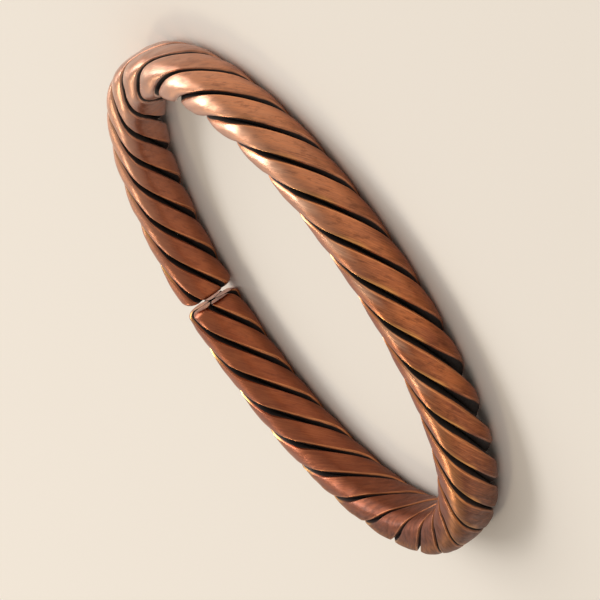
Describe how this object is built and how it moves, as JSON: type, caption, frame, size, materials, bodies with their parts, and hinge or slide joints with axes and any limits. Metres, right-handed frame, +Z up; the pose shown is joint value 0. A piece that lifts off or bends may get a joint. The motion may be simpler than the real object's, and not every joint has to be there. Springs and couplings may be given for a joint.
{
  "type": "twisted wire bangle",
  "caption": "Oval bangle of heavy copper wires twisted into a rope and pressed flat on the outside, with plain ends that meet; worn round a wrist.",
  "frame": {"origin": "centre of the underside, on the surface that the bangle lies on", "axes": "+Z up and along the arm that wears it, +X along the long axis of the oval, and the ends of the rope meet at +Y"},
  "size_m": [0.073, 0.065, 0.0072],
  "materials": {
    "copper": "satin, brushed, with dark oxidised grooves"
  },
  "bodies": {
    "root": {"wire_1": "copper", "wire_2": "copper", "wire_3": "copper", "wire_4": "copper", "wire_5": "copper"}
  },
  "joints": []
}
